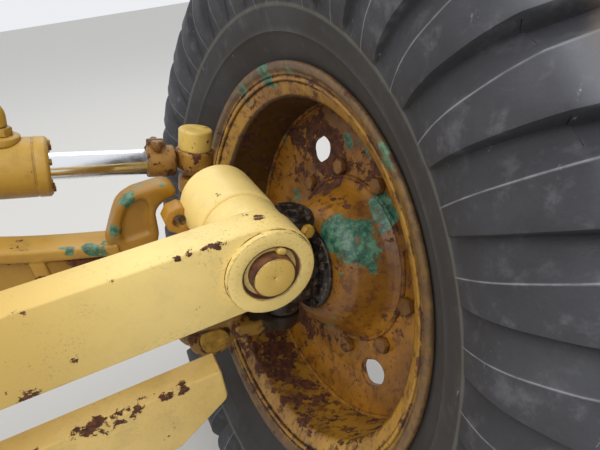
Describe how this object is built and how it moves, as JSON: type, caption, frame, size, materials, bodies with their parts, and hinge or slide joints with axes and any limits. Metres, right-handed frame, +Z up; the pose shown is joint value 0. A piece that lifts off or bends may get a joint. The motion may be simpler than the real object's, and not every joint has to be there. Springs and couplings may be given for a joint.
{
  "type": "motor grader front axle with leaning, steered wheels",
  "caption": "Front axle of a motor grader: arched beam, lean bar, yokes, kingpins, tie rod, hydraulic cylinders and lugged wheels, both leaned toward one side",
  "frame": {"origin": "centre of the bore in which the axle rocks on its centre pivot, in the plane of the wheels' axles", "axes": "+X along the axle to the machine's left, +Y to the rear, +Z up"},
  "size_m": [2.565, 1.2314, 1.306],
  "materials": {
    "painted_axle": "yellow paint over steel, chipped",
    "cream_paint": "cream paint, sun-bleached and dusty",
    "yellow_paint": "yellow enamel, faded",
    "rim_paint": "orange-yellow enamel, rusting at the edges",
    "rusty_steel": "bare cast steel, rusted",
    "greasy_steel": "steel under old grease",
    "worn_steel": "machined steel, worn",
    "chrome_rod": "hard chrome, dulled",
    "black_rubber": "oil seal rubber",
    "tyre_rubber": "tyre rubber, dusty"
  },
  "bodies": {
    "axle": {"axle_beam": "painted_axle", "pivot_bush": "worn_steel", "front_plate": "cream_paint", "plate_brackets": "painted_axle", "lean_anchor": "cream_paint", "lower_pin_left": "rusty_steel", "lower_pin_right": "rusty_steel"},
    "yoke_l": {"yoke_left": "cream_paint", "upper_pin_left": "cream_paint", "kingpin_left": "greasy_steel"},
    "yoke_r": {"yoke_right": "cream_paint", "upper_pin_right": "cream_paint", "kingpin_right": "greasy_steel"},
    "bar": {"lean_bar": "cream_paint", "bar_outriggers": "cream_paint", "lean_lug": "cream_paint"},
    "knuckle_l": {"knuckle_left": "rusty_steel", "seal_left": "black_rubber", "steer_arm_left": "rusty_steel"},
    "knuckle_r": {"knuckle_right": "rusty_steel", "seal_right": "black_rubber", "steer_arm_right": "rusty_steel"},
    "wheel_l": {"tyre_left": "tyre_rubber", "rim_left": "rim_paint", "side_ring_left": "rusty_steel", "disc_left": "rim_paint", "hub_left": "rim_paint", "hub_cap_left": "rim_paint"},
    "wheel_r": {"tyre_right": "tyre_rubber", "rim_right": "rim_paint", "side_ring_right": "rusty_steel", "disc_right": "rim_paint", "hub_right": "rim_paint", "hub_cap_right": "rim_paint"},
    "ball_l": {"steer_ball_left": "worn_steel"},
    "rod_l": {"steer_rod_left": "chrome_rod", "rod_end_left": "rusty_steel"},
    "barrel_l": {"steer_barrel_left": "yellow_paint", "steer_port_left": "yellow_paint"},
    "ball_r": {"steer_ball_right": "worn_steel"},
    "rod_r": {"steer_rod_right": "chrome_rod", "rod_end_right": "rusty_steel"},
    "barrel_r": {"steer_barrel_right": "yellow_paint", "steer_port_right": "yellow_paint"},
    "tie_pivot": {"tie_ball": "worn_steel"},
    "tie": {"tie_rod": "rusty_steel"},
    "lean_cylinder": {"lean_barrel": "yellow_paint"},
    "lean_piston": {"lean_rod": "chrome_rod"}
  },
  "joints": [
    {"name": "lean", "type": "hinge", "parent": "axle", "child": "yoke_l", "pos_m": [0.8, 0, -0.28], "axis": [0, 1, 0], "range_deg": [-32.5, 3.5]},
    {"name": "lean_right", "type": "hinge", "parent": "axle", "child": "yoke_r", "pos_m": [-0.8, 0, -0.28], "axis": [0, 1, 0], "range_deg": [-32.55, 3.55]},
    {"name": "lean_bar_pin", "type": "hinge", "parent": "yoke_l", "child": "bar", "pos_m": [0.8626, 0, -0.03796], "axis": [0, 1, 0], "range_deg": [-3.55, 32.55]},
    {"name": "steer", "type": "hinge", "parent": "yoke_l", "child": "knuckle_l", "pos_m": [0.9407, 0, -0.18727], "axis": [0.2504, 0, 0.9681], "range_deg": [-29.7, 20.3]},
    {"name": "steer_right", "type": "hinge", "parent": "yoke_r", "child": "knuckle_r", "pos_m": [-0.8781, 0, -0.13069], "axis": [0.2504, 0, 0.9681], "range_deg": [-29.75, 20.35]},
    {"name": "wheel_left", "type": "hinge", "parent": "knuckle_l", "child": "wheel_l", "pos_m": [1.03333, 0.00787, -0.21123], "axis": [0.9649, 0.0819, -0.2495], "continuous": true},
    {"name": "wheel_right", "type": "hinge", "parent": "knuckle_r", "child": "wheel_r", "pos_m": [-0.97073, -0.00787, -0.10673], "axis": [0.9649, 0.0819, -0.2495], "continuous": true},
    {"name": "tie_socket", "type": "hinge", "parent": "knuckle_l", "child": "tie_pivot", "pos_m": [0.89512, 0.17939, -0.3046], "axis": [0.2504, 0, 0.9681], "range_deg": [-20.35, 29.75]},
    {"name": "tie_tilt", "type": "hinge", "parent": "tie_pivot", "child": "tie", "pos_m": [0.89512, 0.17939, -0.3046], "axis": [0, 1, 0], "range_deg": [-3.27, 28.71]},
    {"name": "steer_ball_left", "type": "hinge", "parent": "knuckle_l", "child": "ball_l", "pos_m": [0.87049, 0.18988, -0.03174], "axis": [0.2459, 0.0082, 0.9693], "range_deg": [-24.69, 36.04]},
    {"name": "steer_socket_left", "type": "hinge", "parent": "ball_l", "child": "rod_l", "pos_m": [0.87049, 0.18988, -0.03174], "axis": [0, 1, 0], "range_deg": [-3.7, 32.7]},
    {"name": "steer_stroke_left", "type": "slide", "parent": "rod_l", "child": "barrel_l", "axis": [0.9746, -0.0153, -0.2235], "range_m": [-0.09803, 0.06716]},
    {"name": "steer_ball_right", "type": "hinge", "parent": "knuckle_r", "child": "ball_r", "pos_m": [-0.7727, 0.20479, -0.02057], "axis": [0.1978, -0.1413, 0.97], "range_deg": [-23.12, 33.73]},
    {"name": "steer_socket_right", "type": "hinge", "parent": "ball_r", "child": "rod_r", "pos_m": [-0.7727, 0.20479, -0.02057], "axis": [0, 1, 0], "range_deg": [-3.7, 32.7]},
    {"name": "steer_stroke_right", "type": "slide", "parent": "rod_r", "child": "barrel_r", "axis": [-0.981, 0.0122, -0.1936], "range_m": [-0.06622, 0.09665]},
    {"name": "lean_cylinder_pin", "type": "hinge", "parent": "axle", "child": "lean_cylinder", "pos_m": [-0.56, -0.145, -0.15], "axis": [0, 1, 0], "range_deg": [-1.22, 0.31]},
    {"name": "lean_stroke", "type": "slide", "parent": "lean_cylinder", "child": "lean_piston", "axis": [0.9996, 0, 0.029], "range_m": [-0.14054, 0.01558]}
  ],
  "couplings": [
    {"joint": "lean_right", "follows": "lean", "ratio": 1},
    {"joint": "lean_bar_pin", "follows": "lean", "ratio": -1},
    {"joint": "steer_right", "follows": "steer", "ratio": 1},
    {"joint": "tie_socket", "follows": "steer", "ratio": -1},
    {"joint": "tie_tilt", "follows": "lean", "ratio": -0.87709},
    {"joint": "steer_ball_left", "follows": "steer", "ratio": -1.2066},
    {"joint": "steer_socket_left", "follows": "lean", "ratio": -1},
    {"joint": "steer_stroke_left", "follows": "steer", "m_per_rad": 0.18815},
    {"joint": "steer_ball_right", "follows": "steer", "ratio": -1.1291},
    {"joint": "steer_socket_right", "follows": "lean", "ratio": -1},
    {"joint": "steer_stroke_right", "follows": "steer", "m_per_rad": -0.18549},
    {"joint": "lean_cylinder_pin", "follows": "lean", "ratio": 0.031344},
    {"joint": "lean_stroke", "follows": "lean", "m_per_rad": 0.24688}
  ]
}
